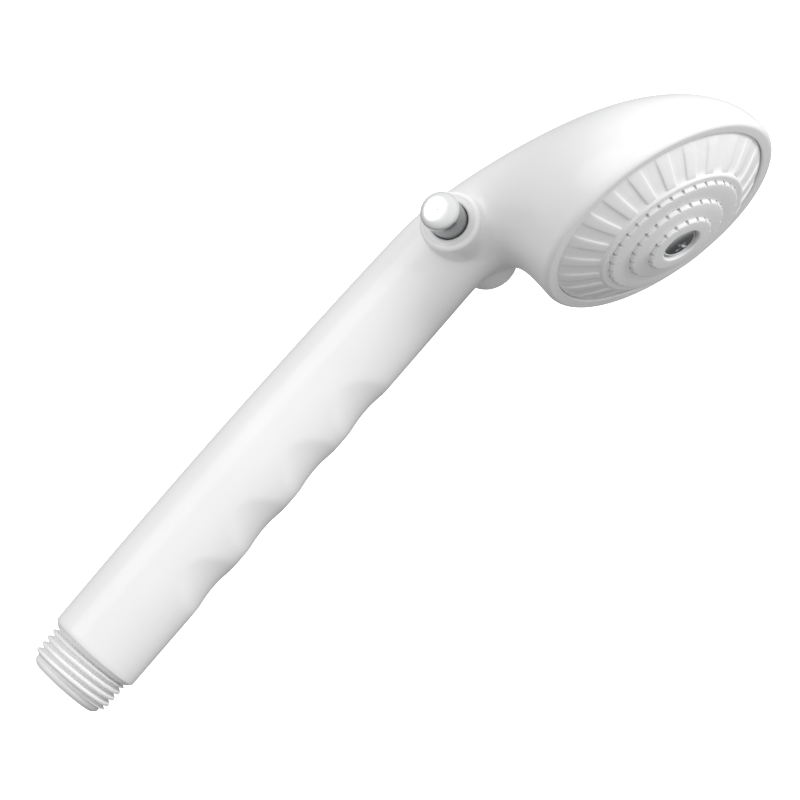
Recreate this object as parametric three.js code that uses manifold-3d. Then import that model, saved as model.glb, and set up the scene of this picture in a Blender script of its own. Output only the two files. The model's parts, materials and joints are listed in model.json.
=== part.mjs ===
// Handheld shower head with a cross-spool pause valve, built as separate solids.
// Millimetres. The origin is the centre of the inlet's end face, +Z runs up the handle,
// the spray face looks towards -Y, and the valve spool slides along X.
import * as THREE from 'three';
import { mergeVertices } from 'three/addons/utils/BufferGeometryUtils.js';
import Module from 'manifold-3d';

const wasm = await Module();
wasm.setup();

// ---------------------------------------------------------------- driving dimensions

const TURN = 2 * Math.PI;
const GAP = 0.1;                       // between two pieces that touch
const HALF_GAP = GAP / 2;              // between a washer, bush or button and what holds it

// Inlet: G 1/2 pipe thread, 14 threads to the inch
const THREAD = { pitch: 1.814, crest: 10.45, root: 9.3, start: 1.6, end: 9.0, pilotChamfer: 0.9 };
const NIPPLE = { mouth: 7.0, mouthDepth: 5.6, bore: 6.0, outlet: 5.0, seat: 10.4, top: 23.5, spigot: 8.95 };
const NIPPLE_GROOVE = { z: 19.0, half: 0.7, radius: 7.85 };

// Handle: nearly round, slightly bowed to the back, with finger scallops in front
const HANDLE = { end: 9.4, top: 128.1, radiusEnd: 11.45, radiusTop: 10.75 };
const BEND = { swell: 0.4, bow: 0.48, lean: 0.75 };
const END_CHAMFER = 1.45;
const SCALLOP_WRAP = THREE.MathUtils.degToRad(48);
const SCALLOP = { first: 39.7, pitch: 17.7, count: 4, depth: 0.7, half: 7.2 };
const WATERWAY = { socket: 9.05, socketTop: 24.0, bore: 7.9, boreTop: 119.0, taperTop: 125.5, port: 2.7 };

// Head: a shell that grows from the handle's section to the round rim
const FACE_TILT = THREE.MathUtils.degToRad(11.84);
const FACE_CENTRE = new THREE.Vector3(0, -34.08, 169.83);
const RIM = { radius: 30.8, depth: 1.91, round: 1.3, wall: 2.4 };
const BACK_PULL = { handle: 27.1, rim: 22.7, lift: -0.55 };
const NECK_PULL = { handle: 13.3, rim: 12.1, lift: -0.93 };
const HEAD_BULGE = 0.025;

// Pause valve, across the neck
const VALVE = { y: -2.14, z: 137.75, bore: 5.0, boreHalf: 10.0, counterbore: 6.05 };
const BOSS = { radius: 7.2, half: 15.15, round: 0.8, skirt: 9.4, skirtHalf: 7.5, footHalf: 11.0 };
const SPOOL = { stem: 4.32, land: 4.9, waist: 2.3, port: 3.2, near: -21.5, far: 15.3, flange: 0.7 };
const BUTTON = { radius: 4.58, edge: 0.5, dome: 1.15, stud: 1.5, studLength: 5.0 };

// Spray face: heights are measured outwards from the rim's front plane
const PLATE = { radius: 27.5, edge: -0.68, skirt: -3.6, skirtWall: 1.3, thickness: 1.8, hole: 2.6 };
const PLATE_BOSS = 5.0;
const FLUTES = { count: 23, outer: 27.1, inner: 19.4, height: 3.9, land: 0.32 };
const RING_EDGE = [[19.05, 4.5], [18.2, 4.9]];
const STEPS = [
  { radius: 17.1, foot: 4.85, top: 5.7, notches: 33 },
  { radius: 12.4, foot: 6.05, top: 6.95, notches: 25 },
  { radius: 8.2, foot: 7.6, top: 8.5, notches: 17 },
];
const NOTCH = { width: 0.75, depth: 0.95, inset: 0.22, height: 3.8 };
const SCREW_RECESS = { radius: 4.72, floor: 6.8 };
const PLATE_SEAT = { radius: 27.85, gasketTop: -3.7, gasketBottom: -4.7, inner: 25.6 };
const DIFFUSER = { radius: 20, front: 0.3, back: -1.2, holes: 12, holeRadius: 1.3, pitchRadius: 14 };
const POST = { radius: 5.2, front: -1.4, socket: 3.45, socketDepth: 12 };
const INSERT_LENGTH = 8.5;
const SCREW = { shaft: 2.35, head: 4.3, seat: 7.3, top: 8.55, tip: -10.0 };
const CROSS = { width: 0.9, span: 4.2, depth: 1.1 };

// Rubber rings: the radius to the middle of the cord, and the cord's own radius
const SEAL = {
  nipple: [8.46, 0.55],
  regulator: [3.1, 0.55],
  spool: [4.42, 0.48],
  rod: [4.88, 0.5],
  bush: [5.57, 0.42],
};

// Smoothness of the round pieces
const ROUND = 24;
const FINE = 36;

// ---------------------------------------------------------------- materials

const FINISH = {
  white: { color: 0xf2f2f0, roughness: 0.25, metalness: 0.0 },
  chrome: { color: 0xc8cacc, roughness: 0.12, metalness: 1.0 },
  brass: { color: 0xb58a45, roughness: 0.35, metalness: 1.0 },
  steel: { color: 0xb4b6b8, roughness: 0.3, metalness: 1.0 },
  rubber: { color: 0x1c1c1c, roughness: 0.8, metalness: 0.0 },
  acetal: { color: 0xd9dde0, roughness: 0.5, metalness: 0.0 },
  mesh: { color: 0x9a9c9e, roughness: 0.4, metalness: 1.0 },
};

const shower = new THREE.Group();

function add(name, solid, finish, place) {
  const mesh = new THREE.Mesh(geometryOf(solid), new THREE.MeshStandardMaterial(FINISH[finish]));
  mesh.name = name;
  if (place) mesh.applyMatrix4(place);
  shower.add(mesh);
}

// ---------------------------------------------------------------- solids and booleans

function solidOf(geometry) {
  const bare = geometry.clone();
  bare.deleteAttribute('normal');
  bare.deleteAttribute('uv');
  const welded = mergeVertices(bare, 1e-4);
  const triangles = [];
  const index = welded.index.array;
  for (let i = 0; i < index.length; i += 3) {
    const [a, b, c] = [index[i], index[i + 1], index[i + 2]];
    if (a !== b && b !== c && c !== a) triangles.push(a, b, c);
  }
  const vertProperties = new Float32Array(welded.attributes.position.array);
  const triVerts = new Uint32Array(triangles);
  return new wasm.Manifold(new wasm.Mesh({ numProp: 3, vertProperties, triVerts }));
}

function geometryOf(solid) {
  const mesh = solid.getMesh();
  const geometry = new THREE.BufferGeometry();
  geometry.setAttribute('position', new THREE.BufferAttribute(new Float32Array(mesh.vertProperties), 3));
  geometry.setIndex(new THREE.BufferAttribute(new Uint32Array(mesh.triVerts), 1));
  geometry.computeVertexNormals();
  return geometry;
}

// A closed profile of [radius, height] points, counter-clockwise, turned about +Z.
function turned(profile, segments = ROUND) {
  const points = [...profile, profile[0]].map(([r, h]) => new THREE.Vector2(r, h));
  const geometry = new THREE.LatheGeometry(points, segments);
  geometry.rotateX(Math.PI / 2);
  return geometry;
}

function turnedSolid(profile, segments) {
  return solidOf(turned(profile, segments));
}

function disc(radius, low, high, segments = ROUND) {
  return turnedSolid([[0, low], [radius, low], [radius, high], [0, high]], segments);
}

function tube(inner, outer, low, high, segments = ROUND) {
  return turnedSolid([[inner, low], [outer, low], [outer, high], [inner, high]], segments);
}

function oRing([radius, cord], height) {
  const geometry = new THREE.TorusGeometry(radius, cord, 6, ROUND);
  geometry.translate(0, 0, height);
  return solidOf(geometry);
}

function moved(solid, matrix) {
  return solid.transform(matrix.elements);
}

// Frames: +Z of a turned piece goes along the spool (+X) or out of the spray face.
const ON_SPOOL = new THREE.Matrix4().makeRotationY(Math.PI / 2).setPosition(0, VALVE.y, VALVE.z);
const ON_FACE = new THREE.Matrix4().makeRotationX(Math.PI / 2 + FACE_TILT).setPosition(FACE_CENTRE);
const FACE_OUT = new THREE.Vector3(0, -Math.cos(FACE_TILT), -Math.sin(FACE_TILT));
const FACE_UP = new THREE.Vector3(0, -Math.sin(FACE_TILT), Math.cos(FACE_TILT));

// ---------------------------------------------------------------- handle body

function onFace(up, out) {
  return FACE_CENTRE.clone().addScaledVector(FACE_UP, up).addScaledVector(FACE_OUT, out);
}

// The handle's centre line and radius at a height.
function handleSection(z) {
  const t = (z - HANDLE.end) / (HANDLE.top - HANDLE.end);
  const arch = 4 * t * (1 - t);
  const centre = new THREE.Vector3(0, BEND.bow * arch + BEND.lean * t, z);
  const radius = THREE.MathUtils.lerp(HANDLE.radiusEnd, HANDLE.radiusTop, t) + BEND.swell * arch;
  return { centre, radius };
}

// How far a height is from the middle of the nearest finger scallop.
function fromScallop(z) {
  const { first, pitch, count } = SCALLOP;
  const nearest = THREE.MathUtils.clamp(Math.round((z - first) / pitch), 0, count - 1);
  return z - first - nearest * pitch;
}

// A scallop is a shallow bowl; front is 1 straight ahead and 0 at the handle's sides.
function scallopDepth(along, front) {
  const wrapped = (1 - front) / (1 - Math.cos(SCALLOP_WRAP));
  return SCALLOP.depth * Math.max(0, 1 - (along / SCALLOP.half) ** 2 - wrapped);
}

// Curves up the back and the front of the head, from the handle to the rim.
function headCurve(side, pull) {
  const { centre, radius } = handleSection(HANDLE.top);
  const taper = HANDLE.radiusTop - HANDLE.radiusEnd - 4 * BEND.swell;
  const slope = (BEND.lean - 4 * BEND.bow + side * taper) / (HANDLE.top - HANDLE.end);
  const along = new THREE.Vector3(0, slope, 1).normalize();
  const start = centre.clone().add(new THREE.Vector3(0, side * radius, 0));
  const leave = start.clone().addScaledVector(along, pull.handle);
  const arrive = onFace(side * RIM.radius + pull.lift, -RIM.depth - pull.rim);
  return new THREE.CubicBezierCurve3(start, leave, arrive, onFace(side * RIM.radius, -RIM.depth));
}

const BACK_CURVE = headCurve(1, BACK_PULL);
const NECK_CURVE = headCurve(-1, NECK_PULL);

// One section across the head: its centre, half-depth vector and half-width.
function headSection(u, inset) {
  const back = BACK_CURVE.getPoint(u);
  const neck = NECK_CURVE.getPoint(u);
  const depth = back.clone().sub(neck).multiplyScalar(0.5);
  const half = depth.length();
  const width = half * (1 + HEAD_BULGE * Math.sin(Math.PI * u)) - inset;
  return { centre: back.add(neck).multiplyScalar(0.5), depth: depth.setLength(half - inset), width };
}

function roundSection(centre, radius, along = Infinity) {
  return { centre, depth: new THREE.Vector3(0, radius, 0), width: radius, along };
}

// A skin through a list of sections, made by moving the points of a plain cylinder.
function loft(sections, segments) {
  const rows = sections.length - 1;
  const geometry = new THREE.CylinderGeometry(1, 1, 1, segments, rows);
  geometry.rotateX(Math.PI / 2);
  const position = geometry.attributes.position;
  for (let i = 0; i < position.count; i += 1) {
    const section = sections[Math.round((position.getZ(i) + 0.5) * rows)];
    const { centre, depth, width, along = Infinity } = section;
    const scale = 1 - scallopDepth(along, -position.getY(i)) / width;
    const point = centre.clone().addScaledVector(depth, position.getY(i) * scale);
    position.setXYZ(i, point.x + position.getX(i) * width * scale, point.y, point.z);
  }
  return solidOf(geometry);
}

function handleSections() {
  const sections = [];
  const end = handleSection(HANDLE.end);
  sections.push(roundSection(end.centre, end.radius - END_CHAMFER));
  const rows = 38;
  for (let i = 0; i <= rows; i += 1) {
    const z = THREE.MathUtils.lerp(HANDLE.end + END_CHAMFER, HANDLE.top, i / rows);
    const { centre, radius } = handleSection(z);
    sections.push(roundSection(centre, radius, fromScallop(z)));
  }
  return sections;
}

function rimSections() {
  const sections = [];
  for (const angle of [30, 60, 90]) {
    const turn = THREE.MathUtils.degToRad(angle);
    const radius = RIM.radius - RIM.round * (1 - Math.cos(turn));
    const centre = onFace(0, RIM.depth * (Math.sin(turn) - 1));
    sections.push({ centre, depth: FACE_UP.clone().multiplyScalar(radius), width: radius });
  }
  return sections;
}

function bodyOutside() {
  const rows = 14;
  const head = [];
  for (let i = 1; i <= rows; i += 1) head.push(headSection(i / rows, 0));
  return loft([...handleSections(), ...head, ...rimSections()], FINE);
}

const CHAMBER_START = 0.34;

// The water chamber inside the head, open towards the spray face.
function headChamber() {
  const rows = 9;
  const sections = [];
  for (let i = 0; i <= rows; i += 1) {
    sections.push(headSection(THREE.MathUtils.lerp(CHAMBER_START, 1, i / rows), RIM.wall));
  }
  return loft(sections, ROUND);
}

function valveBoss() {
  const { radius, half, round, skirt, skirtHalf, footHalf } = BOSS;
  return moved(turnedSolid([
    [0, -half], [radius - round, -half], [radius, round - half], [radius, -footHalf],
    [skirt, -skirtHalf], [skirt, skirtHalf], [radius, footHalf],
    [radius, half - round], [radius - round, half], [0, half],
  ]), ON_SPOOL);
}

const PORT_REACH = 13;

function waterway() {
  const { socket, socketTop, bore, boreTop, taperTop, port } = WATERWAY;
  const { end } = HANDLE;
  const handleBore = turnedSolid([
    [0, end - 1], [socket, end - 1], [socket, socketTop], [bore, socketTop], [bore, boreTop],
    [port + 1, taperTop], [0, taperTop],
  ]);
  const shift = new THREE.Matrix4().makeTranslation(0, VALVE.y, 0);
  const ports = moved(disc(port, taperTop - 2, VALVE.z + PORT_REACH), shift);
  return handleBore.add(ports);
}

function valveBore() {
  const { bore, boreHalf, counterbore } = VALVE;
  const outer = BOSS.half + 1;
  return moved(turnedSolid([
    [0, -outer], [counterbore, -outer], [counterbore, -boreHalf], [bore, -boreHalf],
    [bore, boreHalf], [counterbore, boreHalf], [counterbore, outer], [0, outer],
  ]), ON_SPOOL);
}

function plateSeat() {
  const { radius, gasketBottom } = PLATE_SEAT;
  const floor = gasketBottom - GAP;
  return moved(disc(radius, floor, 3, FINE), ON_FACE);
}

function handleBody() {
  const outside = bodyOutside();
  const post = moved(disc(POST.radius, -30, POST.front), ON_FACE).intersect(outside);
  const socketFloor = POST.front - POST.socketDepth;
  const socket = moved(disc(POST.socket, socketFloor, POST.front + 1), ON_FACE);
  return outside
    .add(valveBoss())
    .subtract(headChamber())
    .subtract(plateSeat())
    .add(post)
    .subtract(socket)
    .subtract(waterway())
    .subtract(valveBore());
}

// ---------------------------------------------------------------- inlet pieces

// How far the thread stands out of its root, faded in and out at both ends.
function threadHeight(z, angle) {
  const { pitch, crest, root, start, end } = THREAD;
  const phase = (((z / pitch - angle / TURN) % 1) + 1) % 1;
  const ridge = THREE.MathUtils.clamp(1.25 - Math.abs(phase - 0.5) * 2.5, 0, 1);
  const fade = Math.min((z - start) / pitch, (end - z) / pitch, 1);
  return (crest - root) * ridge * Math.max(0, fade);
}

function threadedBarrel() {
  const { pitch, root, end, pilotChamfer } = THREAD;
  const rowsPerPitch = 5;
  const rows = Math.round((end - pilotChamfer) / (pitch / rowsPerPitch));
  const profile = [[0, 0], [root - pilotChamfer, 0]];
  for (let i = 0; i <= rows; i += 1) {
    profile.push([root, THREE.MathUtils.lerp(pilotChamfer, end, i / rows)]);
  }
  profile.push([root, HANDLE.end], [0, HANDLE.end]);
  const geometry = turned(profile, 30);
  const position = geometry.attributes.position;
  for (let i = 0; i < position.count; i += 1) {
    const [x, y, z] = [position.getX(i), position.getY(i), position.getZ(i)];
    const radius = Math.hypot(x, y);
    if (radius < root - 0.01) continue;
    const scale = 1 + threadHeight(z, Math.atan2(y, x)) / radius;
    position.setXYZ(i, x * scale, y * scale, z);
  }
  return solidOf(geometry);
}

function inletNipple() {
  const { mouth, mouthDepth, bore, outlet, seat, top, spigot } = NIPPLE;
  const chamfer = 0.5;
  const shank = turnedSolid([
    [0, HANDLE.end - 1], [spigot, HANDLE.end - 1], [spigot, top - chamfer],
    [spigot - chamfer, top], [0, top],
  ]);
  const hollow = turnedSolid([
    [0, -1], [mouth, -1], [mouth, mouthDepth], [bore, mouthDepth], [bore, seat],
    [outlet, seat], [outlet, top + 1], [0, top + 1],
  ]);
  const { z, half, radius } = NIPPLE_GROOVE;
  const groove = tube(radius, spigot + 1, z - half, z + half);
  return threadedBarrel().add(shank).subtract(hollow).subtract(groove);
}

const SCREEN = { opening: 1.6, step: 2.2, thickness: 0.5, rimWidth: 0.8, rimHeight: 1.0 };

// A woven inlet strainer, simplified to a rimmed disc with square openings.
function inletScreen() {
  const rim = NIPPLE.mouth - GAP;
  const top = NIPPLE.mouthDepth - GAP;
  const { opening, step, thickness, rimWidth, rimHeight } = SCREEN;
  let screen = disc(rim, top - thickness, top).add(tube(rim - rimWidth, rim, top - rimHeight, top));
  const reach = 2;
  for (let i = -reach; i <= reach; i += 1) {
    for (let j = -reach; j <= reach; j += 1) {
      if (Math.hypot(i, j) > reach) continue;
      const cell = new THREE.BoxGeometry(opening, opening, 3);
      cell.translate(i * step, j * step, top);
      screen = screen.subtract(solidOf(cell));
    }
  }
  return screen;
}

// The flow regulator: a notched insert with a free rubber ring on its upstream side.
const REGULATOR = { bottom: 7.3, step: 8.5, seal: 7.85, hub: 2.2, ports: 6, port: 0.9, portCircle: 3.6 };

function regulatorInsert() {
  const { bottom, step, hub, ports, port, portCircle } = REGULATOR;
  const outer = NIPPLE.bore - GAP;
  const top = NIPPLE.seat - GAP;
  let insert = turnedSolid([
    [0, bottom], [hub, bottom], [hub, step], [outer, step], [outer, top], [0, top],
  ]);
  for (let i = 0; i < ports; i += 1) {
    const angle = (i * TURN) / ports;
    const hole = new THREE.CylinderGeometry(port, port, 6, 12);
    hole.rotateX(Math.PI / 2);
    hole.translate(portCircle * Math.cos(angle), portCircle * Math.sin(angle), step);
    insert = insert.subtract(solidOf(hole));
  }
  return insert;
}

function addInlet() {
  add('inlet_nipple', inletNipple(), 'white');
  add('nipple_o_ring', oRing(SEAL.nipple, NIPPLE_GROOVE.z), 'rubber');
  add('inlet_screen', inletScreen(), 'mesh');
  add('flow_regulator', regulatorInsert(), 'acetal');
  add('regulator_o_ring', oRing(SEAL.regulator, REGULATOR.seal), 'rubber');
}

// ---------------------------------------------------------------- pause valve

const SPOOL_GROOVE = { radius: 3.9, half: 0.65 };
const SPOOL_SEALS = [-8.2, -4.9];
const BUSH = { inner: 4.4, outer: 6.0, face: BOSS.half - HALF_GAP, back: VALVE.boreHalf + GAP };
const ROD_GROOVE = { radius: 5.45, centre: 13.2, half: 0.65 };
const BUSH_GROOVE = { radius: 5.1, centre: 11.3, half: 0.6 };

function valveSpool() {
  const { stem, land, waist, port, near, far, flange } = SPOOL;
  const landEnd = BUSH.back - 3 * GAP;
  const hole = BUTTON.stud + HALF_GAP;
  const depth = BUTTON.studLength + 4 * GAP;
  let spool = turnedSolid([
    [0, near], [stem, near], [stem, -landEnd], [land, -landEnd],
    [land, -port], [waist, -port], [waist, port], [land, port],
    [land, port + flange], [stem, port + flange], [stem, far], [0, far],
  ]);
  for (const centre of SPOOL_SEALS) {
    const { radius, half } = SPOOL_GROOVE;
    spool = spool.subtract(tube(radius, land + 1, centre - half, centre + half));
  }
  return spool
    .subtract(disc(hole, near - 1, near + depth, 20))
    .subtract(disc(hole, far - depth, far + 1, 20));
}

// A domed push button on a stud that screws into the spool's end.
function button() {
  const { radius, edge, dome, stud, studLength } = BUTTON;
  const chamfer = 0.2;
  const profile = [
    [0, -studLength], [stud, -studLength], [stud, 0],
    [radius - chamfer, 0], [radius, chamfer], [radius, edge],
  ];
  const rows = 5;
  for (let i = 1; i <= rows; i += 1) {
    const turn = (i / rows) * (Math.PI / 2);
    profile.push([radius * Math.cos(turn), edge + dome * Math.sin(turn)]);
  }
  return turnedSolid(profile);
}

function bush() {
  const { inner, outer, face, back } = BUSH;
  const { centre, half } = ROD_GROOVE;
  const sealLow = BUSH_GROOVE.centre - BUSH_GROOVE.half;
  const sealHigh = BUSH_GROOVE.centre + BUSH_GROOVE.half;
  const chamfer = 0.3;
  return turnedSolid([
    [inner, back], [outer, back], [outer, face - chamfer], [outer - chamfer, face], [inner, face],
  ])
    .subtract(tube(inner - 1, ROD_GROOVE.radius, centre - half, centre + half))
    .subtract(tube(BUSH_GROOVE.radius, outer + 1, sealLow, sealHigh));
}

function addValve() {
  const flip = ON_SPOOL.clone().multiply(new THREE.Matrix4().makeRotationX(Math.PI));
  const at = (frame, along) => frame.clone().multiply(new THREE.Matrix4().makeTranslation(0, 0, along));
  add('valve_spool', valveSpool(), 'chrome', ON_SPOOL);
  SPOOL_SEALS.forEach((centre, i) => {
    add(`spool_o_ring_${i + 1}`, oRing(SEAL.spool, centre), 'rubber', ON_SPOOL);
  });
  add('near_button', button(), 'chrome', at(flip, -SPOOL.near + HALF_GAP));
  add('far_button', button(), 'chrome', at(ON_SPOOL, SPOOL.far + HALF_GAP));
  for (const [side, frame] of [['near', flip], ['far', ON_SPOOL]]) {
    add(`${side}_bush`, bush(), 'white', frame);
    add(`${side}_rod_seal`, oRing(SEAL.rod, ROD_GROOVE.centre), 'rubber', frame);
    add(`${side}_bush_o_ring`, oRing(SEAL.bush, BUSH_GROOVE.centre), 'rubber', frame);
  }
}

// ---------------------------------------------------------------- spray face

// The outer ring of the plate, from its skirt up to the end of the flutes.
function fluteRing() {
  const { radius, edge, skirt } = PLATE;
  const { count, outer, inner, height } = FLUTES;
  const segments = 4 * count;
  const profile = [
    [inner - 1, skirt], [radius, skirt], [radius, edge],
    [outer, edge + 0.15], [inner, height], [inner - 1, height],
  ];
  return solidOf(flute(turned(profile, segments), segments));
}

// Raises every other land: each pitch of the flutes is one raised land and one sunk one.
function flute(geometry, segments) {
  const position = geometry.attributes.position;
  const perPitch = segments / FLUTES.count;
  const shares = [0.02, 0.48, 0.52, 0.98];
  for (let i = 0; i < position.count; i += 1) {
    const [x, y, z] = [position.getX(i), position.getY(i), position.getZ(i)];
    const radius = Math.hypot(x, y);
    const step = Math.round((Math.atan2(y, x) / TURN) * segments + segments) % segments;
    const within = step % perPitch;
    const angle = ((Math.floor(step / perPitch) + shares[within]) / FLUTES.count) * TURN;
    const isOnSlope = z > PLATE.edge + 0.1 && radius > FLUTES.inner - 0.1;
    const lift = isOnSlope && within < 2 ? FLUTES.land : 0;
    position.setXYZ(i, radius * Math.cos(angle), radius * Math.sin(angle), z + lift);
  }
  return geometry;
}

// The stepped dome inside the flutes, down to the screw's recess.
function steppedDome() {
  const { inner, height } = FLUTES;
  const soft = 0.2;
  const profile = [
    [0, PLATE.skirt], [inner, PLATE.skirt], [inner, height - GAP], ...RING_EDGE,
  ];
  for (const { radius, foot, top } of STEPS) {
    profile.push([radius + soft, foot + HALF_GAP], [radius, foot]);
    profile.push([radius - soft, top - HALF_GAP], [radius - 2 * soft, top]);
  }
  profile.push([0, STEPS[2].top + 0.1]);
  return turnedSolid(profile, FINE);
}

// What is hollow behind the plate, around the boss that the screw goes through.
function plateHollow() {
  const { radius, edge, skirt, skirtWall, thickness } = PLATE;
  const inner = radius - skirtWall;
  const [first, second, third] = STEPS;
  return turnedSolid([
    [0, skirt - 1], [inner, skirt - 1], [inner, edge - thickness + 0.6],
    [FLUTES.inner, FLUTES.height - thickness],
    [first.radius, first.foot - thickness], [second.radius, second.foot - thickness],
    [third.radius, third.foot - thickness], [0, SCREW_RECESS.floor - thickness],
  ]);
}

function notchCutters() {
  const cutters = [];
  for (const { radius, foot, notches } of STEPS) {
    for (let i = 0; i < notches; i += 1) {
      const box = new THREE.BoxGeometry(NOTCH.depth, NOTCH.width, NOTCH.height);
      box.translate(radius - NOTCH.inset, 0, foot);
      box.rotateZ((i * TURN) / notches);
      cutters.push(solidOf(box));
    }
  }
  return wasm.Manifold.union(cutters);
}

function sprayFace() {
  const { hole } = PLATE;
  const boss = disc(PLATE_BOSS, DIFFUSER.front + GAP, SCREW_RECESS.floor);
  return fluteRing()
    .add(steppedDome())
    .subtract(plateHollow())
    .add(boss)
    .subtract(disc(hole, -5, 12))
    .subtract(disc(SCREW_RECESS.radius, SCREW_RECESS.floor, 12))
    .subtract(notchCutters());
}

function diffuserDisc() {
  const { radius, front, back, holes, holeRadius, pitchRadius } = DIFFUSER;
  let plate = tube(PLATE.hole, radius, back, front);
  for (let i = 0; i < holes; i += 1) {
    const angle = (i * TURN) / holes;
    const hole = new THREE.CylinderGeometry(holeRadius, holeRadius, 6, 12);
    hole.rotateX(Math.PI / 2);
    hole.translate(pitchRadius * Math.cos(angle), pitchRadius * Math.sin(angle), 0);
    plate = plate.subtract(solidOf(hole));
  }
  return plate;
}

function centreScrew() {
  const { shaft, head, seat, top, tip } = SCREW;
  const taper = 0.5;
  let screw = turnedSolid([
    [0, tip], [shaft - taper, tip], [shaft, tip + taper], [shaft, seat], [head, seat],
    [head, seat + taper], [head - 0.7, top - 0.3], [head / 2, top], [0, top + GAP],
  ]);
  for (const turn of [0, Math.PI / 2]) {
    const cut = new THREE.BoxGeometry(CROSS.span, CROSS.width, 2 * CROSS.depth);
    cut.translate(0, 0, top);
    cut.rotateZ(turn);
    screw = screw.subtract(solidOf(cut));
  }
  return screw;
}

function screwWasher() {
  return tube(PLATE.hole, SCREW.head, SCREW_RECESS.floor + HALF_GAP, SCREW.seat - HALF_GAP);
}

function threadInsert() {
  const top = POST.front - 2 * GAP;
  return tube(SCREW.shaft + HALF_GAP, POST.socket - HALF_GAP, top - INSERT_LENGTH, top);
}

function addSprayHead() {
  const { gasketTop, gasketBottom, inner } = PLATE_SEAT;
  add('spray_face', sprayFace(), 'white', ON_FACE);
  add('face_gasket', tube(inner, PLATE.radius, gasketBottom, gasketTop), 'rubber', ON_FACE);
  add('diffuser_disc', diffuserDisc(), 'acetal', ON_FACE);
  add('centre_screw', centreScrew(), 'steel', ON_FACE);
  add('screw_washer', screwWasher(), 'acetal', ON_FACE);
  add('thread_insert', threadInsert(), 'brass', ON_FACE);
}

add('handle_body', handleBody(), 'white');
addInlet();
addValve();
addSprayHead();

export default shower;
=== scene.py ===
"""Handheld shower head: detailed pieces, materials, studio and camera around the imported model.

Shapes are worked out in millimetres in the model's frame and made into meshes in metres.
The origin is the inlet's end face, +Z runs up the handle and the spray face looks towards -Y.
"""
import json
import math

import bmesh
import bpy
from mathutils import Matrix, Vector

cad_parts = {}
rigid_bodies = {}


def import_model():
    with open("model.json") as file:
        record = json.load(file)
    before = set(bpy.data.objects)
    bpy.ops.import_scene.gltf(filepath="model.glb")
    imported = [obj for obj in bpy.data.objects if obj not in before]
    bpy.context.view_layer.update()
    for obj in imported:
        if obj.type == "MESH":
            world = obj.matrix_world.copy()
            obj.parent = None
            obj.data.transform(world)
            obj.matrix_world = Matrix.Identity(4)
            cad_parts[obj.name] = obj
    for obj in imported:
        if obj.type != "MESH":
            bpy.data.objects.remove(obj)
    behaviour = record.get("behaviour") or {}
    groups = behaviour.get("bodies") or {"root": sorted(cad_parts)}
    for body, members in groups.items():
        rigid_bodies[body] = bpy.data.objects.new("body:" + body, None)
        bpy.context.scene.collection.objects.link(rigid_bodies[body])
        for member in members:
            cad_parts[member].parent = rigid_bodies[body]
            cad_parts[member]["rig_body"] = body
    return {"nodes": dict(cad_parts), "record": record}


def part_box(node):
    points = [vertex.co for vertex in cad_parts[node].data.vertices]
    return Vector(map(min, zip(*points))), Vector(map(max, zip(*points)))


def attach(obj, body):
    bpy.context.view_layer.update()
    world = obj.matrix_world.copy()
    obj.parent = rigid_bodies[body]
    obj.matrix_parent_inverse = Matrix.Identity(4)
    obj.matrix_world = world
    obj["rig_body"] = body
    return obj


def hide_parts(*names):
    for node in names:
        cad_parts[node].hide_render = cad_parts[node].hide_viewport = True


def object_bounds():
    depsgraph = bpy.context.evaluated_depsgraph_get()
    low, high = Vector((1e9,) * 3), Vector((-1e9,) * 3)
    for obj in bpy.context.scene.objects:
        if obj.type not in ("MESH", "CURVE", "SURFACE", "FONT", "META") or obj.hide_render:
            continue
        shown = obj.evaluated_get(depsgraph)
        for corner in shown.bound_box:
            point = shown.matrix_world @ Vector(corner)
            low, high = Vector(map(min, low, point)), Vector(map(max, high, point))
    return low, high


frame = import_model()
cad_low, cad_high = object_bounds()

MM = 0.001
TURN = 2 * math.pi


def box_mm(node):
    """The low and high corners of a CAD node's box, in millimetres."""
    low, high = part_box(node)
    return low / MM, high / MM


# ---------------------------------------------------------------- sizes

# Handle
body_low, _ = box_mm("handle_body")
HANDLE_END = body_low.z
HANDLE_TOP = 128.1
RADIUS_END, RADIUS_TOP, SWELL = 11.45, 10.75, 0.4
BOW, LEAN = 0.48, 0.75
END_CHAMFER = 1.45
SOCKET_TOP, SOCKET_RADIUS = 24.0, 9.05
BORE_RADIUS, BORE_TOP = 7.9, 119.0
TAPER_TOP, PORT_RADIUS = 125.5, 2.7

# Finger scallops
SCALLOP_FIRST, SCALLOP_PITCH, SCALLOP_COUNT = 39.7, 17.7, 4
SCALLOP_DEPTH, SCALLOP_HALF, SCALLOP_WRAP = 0.95, 7.2, math.radians(48)

# Head and rim
FACE_TILT = math.radians(11.84)
FACE_CENTRE = Vector((0, -34.08, 169.83))
FACE_OUT = Vector((0, -math.cos(FACE_TILT), -math.sin(FACE_TILT)))
FACE_UP = Vector((0, -math.sin(FACE_TILT), math.cos(FACE_TILT)))
RIM_RADIUS, RIM_DEPTH, RIM_ROUND, WALL = 30.8, 1.91, 1.3, 2.4
BACK_PULL = (27.1, 22.7, -0.55)
NECK_PULL = (13.3, 12.1, -0.93)
HEAD_BULGE = 0.025
SEAT_RADIUS, SEAT_FLOOR, CHAMBER_RADIUS = 27.62, -4.8, 25.4

# Pause valve
spool_low, spool_high = box_mm("valve_spool")
VALVE = (spool_low + spool_high) / 2
STEM_NEAR, STEM_FAR = spool_low.x, spool_high.x
BOSS_RADIUS, BOSS_HALF, BOSS_ROUND = 7.2, 15.15, 1.0
BUSH_HOLE, BUSH_BACK, VALVE_BORE = 6.02, 10.0, 5.0
FILLET_RADIUS, FILLET_RISE = (7.85, 9.3), (1.0, 3.0)
FILLET_WIDEST = math.radians(135)
PATCH_FRONT, PATCH_BACK, PATCH_HALF = 86, 54, 12.2

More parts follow.
